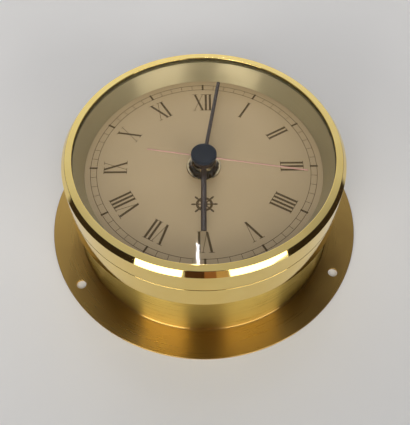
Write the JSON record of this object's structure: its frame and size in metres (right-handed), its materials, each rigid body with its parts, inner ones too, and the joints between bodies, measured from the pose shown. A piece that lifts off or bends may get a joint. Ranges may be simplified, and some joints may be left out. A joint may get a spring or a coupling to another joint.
{
  "type": "ship's clock",
  "caption": "Round brass bulkhead clock: drum case on a wide screw flange, polished bezel over flat glass, roman dial, geared quartz movement turning hour, minute and second hands.",
  "frame": {"origin": "centre of the flange's back face, which lies on the bulkhead", "axes": "+Z out of the dial along the hands' shaft, +Y to twelve o'clock, +X to three o'clock"},
  "size_m": [0.15, 0.15, 0.0548],
  "materials": {
    "brushed_brass": "brushed around the axis, lacquered",
    "polished_brass": "mirror polished, lacquered",
    "satin_brass": "satin brushed",
    "clear_glass": "clear polished",
    "black_rubber": "matte",
    "dial_face": "satin champagne with dark print",
    "black_plastic": "fine moulded grain",
    "white_plastic": "moulded acetal",
    "bare_steel": "stamped sheet",
    "copper_wire": "enamelled winding",
    "board_laminate": "solder mask",
    "chip_resin": "potting resin",
    "nickel_plate": "nickel plated",
    "cell_jacket": "plain metal jacket",
    "magnet": "sintered",
    "black_hand_paint": "satin black",
    "red_hand_paint": "satin red",
    "cap_plastic": "satin black"
  },
  "bodies": {
    "case": {"case_drum": "brushed_brass", "collar_ring": "polished_brass", "bezel_ring": "polished_brass", "glass_pane": "clear_glass", "glass_gasket": "black_rubber", "reflector_ring": "satin_brass", "dial_plate": "dial_face", "threaded_bush": "satin_brass", "rubber_washer": "black_rubber", "brass_washer": "satin_brass", "hex_nut": "satin_brass", "movement_case": "black_plastic", "middle_plate": "white_plastic", "movement_cover": "black_plastic", "stator_plate": "bare_steel", "coil_core": "bare_steel", "coil_winding": "copper_wire", "circuit_board": "board_laminate", "control_chip": "chip_resin", "quartz_crystal": "nickel_plate", "battery_cell": "cell_jacket", "contact_positive": "nickel_plate", "contact_negative": "nickel_plate"},
    "second_shaft": {"second_wheel": "white_plastic", "second_hand": "red_hand_paint", "second_hand_cap": "cap_plastic"},
    "rotor_shaft": {"rotor": "magnet"},
    "intermediate_shaft": {"intermediate_wheel": "white_plastic"},
    "third_shaft": {"third_wheel": "white_plastic"},
    "centre_shaft": {"centre_wheel": "satin_brass"},
    "minute_shaft": {"cannon_pinion": "satin_brass", "minute_hand": "black_hand_paint"},
    "motion_shaft": {"motion_wheel": "white_plastic", "setting_knob": "white_plastic"},
    "hour_shaft": {"hour_wheel": "white_plastic", "hour_hand": "black_hand_paint"}
  },
  "joints": [
    {"name": "second_hand_turn", "type": "hinge", "parent": "case", "child": "second_shaft", "pos_m": [0, 0, 0.03], "axis": [0, 0, -1], "continuous": true},
    {"name": "intermediate_wheel_turn", "type": "hinge", "parent": "case", "child": "intermediate_shaft", "pos_m": [0.0035, 0.00606, 0.03], "axis": [0, 0, -1], "continuous": true},
    {"name": "rotor_turn", "type": "hinge", "parent": "case", "child": "rotor_shaft", "pos_m": [0.00773, 0.01029, 0.03], "axis": [0, 0, -1], "continuous": true},
    {"name": "third_wheel_turn", "type": "hinge", "parent": "case", "child": "third_shaft", "pos_m": [-0.00636, 0.00636, 0.03], "axis": [0, 0, -1], "continuous": true},
    {"name": "centre_wheel_turn", "type": "hinge", "parent": "case", "child": "centre_shaft", "pos_m": [0, 0, 0.03], "axis": [0, 0, -1], "continuous": true},
    {"name": "minute_hand_turn", "type": "hinge", "parent": "case", "child": "minute_shaft", "pos_m": [0, 0, 0.03], "axis": [0, 0, -1], "continuous": true},
    {"name": "motion_wheel_turn", "type": "hinge", "parent": "case", "child": "motion_shaft", "pos_m": [0.00954, 0, 0.03], "axis": [0, 0, -1], "continuous": true},
    {"name": "hour_hand_turn", "type": "hinge", "parent": "case", "child": "hour_shaft", "pos_m": [0, 0, 0.03], "axis": [0, 0, -1], "continuous": true}
  ],
  "couplings": [
    {"joint": "intermediate_wheel_turn", "follows": "second_hand_turn", "ratio": -6},
    {"joint": "rotor_turn", "follows": "second_hand_turn", "ratio": 30},
    {"joint": "third_wheel_turn", "follows": "second_hand_turn", "ratio": -0.13333},
    {"joint": "centre_wheel_turn", "follows": "second_hand_turn", "ratio": 0.016667},
    {"joint": "motion_wheel_turn", "follows": "minute_hand_turn", "ratio": -0.33333},
    {"joint": "hour_hand_turn", "follows": "minute_hand_turn", "ratio": 0.083333}
  ]
}
